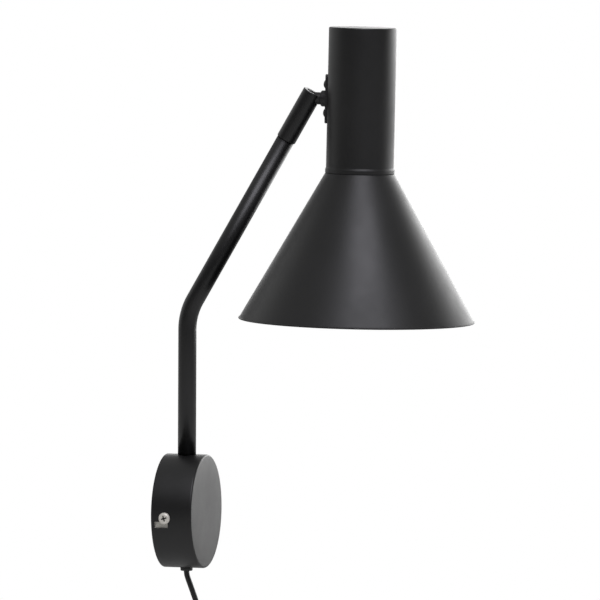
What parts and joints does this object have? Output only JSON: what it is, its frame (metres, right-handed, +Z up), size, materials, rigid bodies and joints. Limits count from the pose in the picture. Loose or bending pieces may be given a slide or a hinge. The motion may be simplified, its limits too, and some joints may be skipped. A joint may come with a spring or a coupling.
{
  "type": "swing arm wall light",
  "caption": "Wall reading light with a round canopy, a bent swinging arm, a slotted ball joint, a conical metal shade and a plug-in lead with an inline switch.",
  "frame": {"origin": "centre of the canopy and bracket on the wall plane, where the bracket's back meets the wall", "axes": "+Y into the wall, -Y out from the wall, +Z up, +X to the right for someone facing the wall"},
  "size_m": [0.18, 0.2399, 0.6529],
  "materials": {
    "black_paint": "satin black powder coat",
    "black_screw": "blackened steel",
    "zinc_plate": "zinc plated",
    "machined_steel": "machined",
    "brass": "satin",
    "copper": "satin copper",
    "black_plastic": "moulded, fine grain",
    "lead_sheath": "smooth PVC sheath",
    "wire_sheath": "single insulated wire",
    "tie_fabric": "hook and loop band",
    "pale_plastic": "moulded",
    "porcelain": "unglazed steatite"
  },
  "bodies": {
    "root": {"canopy": "black_paint", "wall_bracket": "zinc_plate", "hook_screws": "zinc_plate", "bearing_block": "machined_steel", "block_nuts": "zinc_plate", "terminal_block": "pale_plastic", "terminal_screw": "zinc_plate", "cord_gland": "black_plastic", "gland_nut": "zinc_plate", "grip_screw": "zinc_plate", "mains_tail": "lead_sheath", "supply_leads": "wire_sheath", "cord_upper": "lead_sheath", "switch_front": "black_plastic", "switch_back": "black_plastic", "switch_screws": "zinc_plate", "switch_boots": "black_plastic", "switch_contacts": "copper", "rocker_pin": "machined_steel", "cord_lower": "lead_sheath", "cord_coil": "lead_sheath", "cord_tie": "tie_fabric", "cord_tail": "lead_sheath", "plug_body": "black_plastic", "plug_pins": "brass"},
    "rocker": {"switch_rocker": "black_plastic"},
    "arm": {"arm_tube": "black_paint", "retaining_collar": "machined_steel", "stop_screw": "zinc_plate", "spring_washer": "machined_steel", "arm_nipple": "brass", "joint_sleeve": "black_paint", "ball_seat": "brass", "disc_springs": "machined_steel", "arm_flex": "lead_sheath"},
    "knuckle": {"ball_stud": "black_screw", "stem_washer": "zinc_plate", "stem_nut": "zinc_plate"},
    "head": {"swivel_boss": "black_paint", "mounting_plate": "black_paint", "plate_screws": "black_screw", "housing": "black_paint", "holder_strap": "zinc_plate", "shade_cone": "black_paint", "holder_nipple": "machined_steel", "nipple_nut": "zinc_plate", "holder_cap": "black_plastic", "holder_body": "black_plastic", "holder_core": "porcelain", "core_screws": "brass", "thread_shell": "brass", "centre_contact": "brass", "shade_ring": "black_plastic", "head_flex": "lead_sheath"}
  },
  "joints": [
    {"name": "arm_swing", "type": "hinge", "parent": "root", "child": "arm", "pos_m": [0, -0.0159, 0.06], "axis": [0, 0, 1], "range_deg": [-55, 55]},
    {"name": "head_tilt", "type": "hinge", "parent": "arm", "child": "knuckle", "pos_m": [0, -0.1119, 0.31828], "axis": [1, 0, 0], "range_deg": [-60, 6]},
    {"name": "head_twist", "type": "hinge", "parent": "knuckle", "child": "head", "pos_m": [0, -0.1119, 0.31828], "axis": [0, -0.9998, -0.0175], "range_deg": [-80, 80]},
    {"name": "rocker_press", "type": "hinge", "parent": "root", "child": "rocker", "pos_m": [0, -0.0313, -0.126], "axis": [1, 0, 0], "range_deg": [-14, 0]}
  ]
}
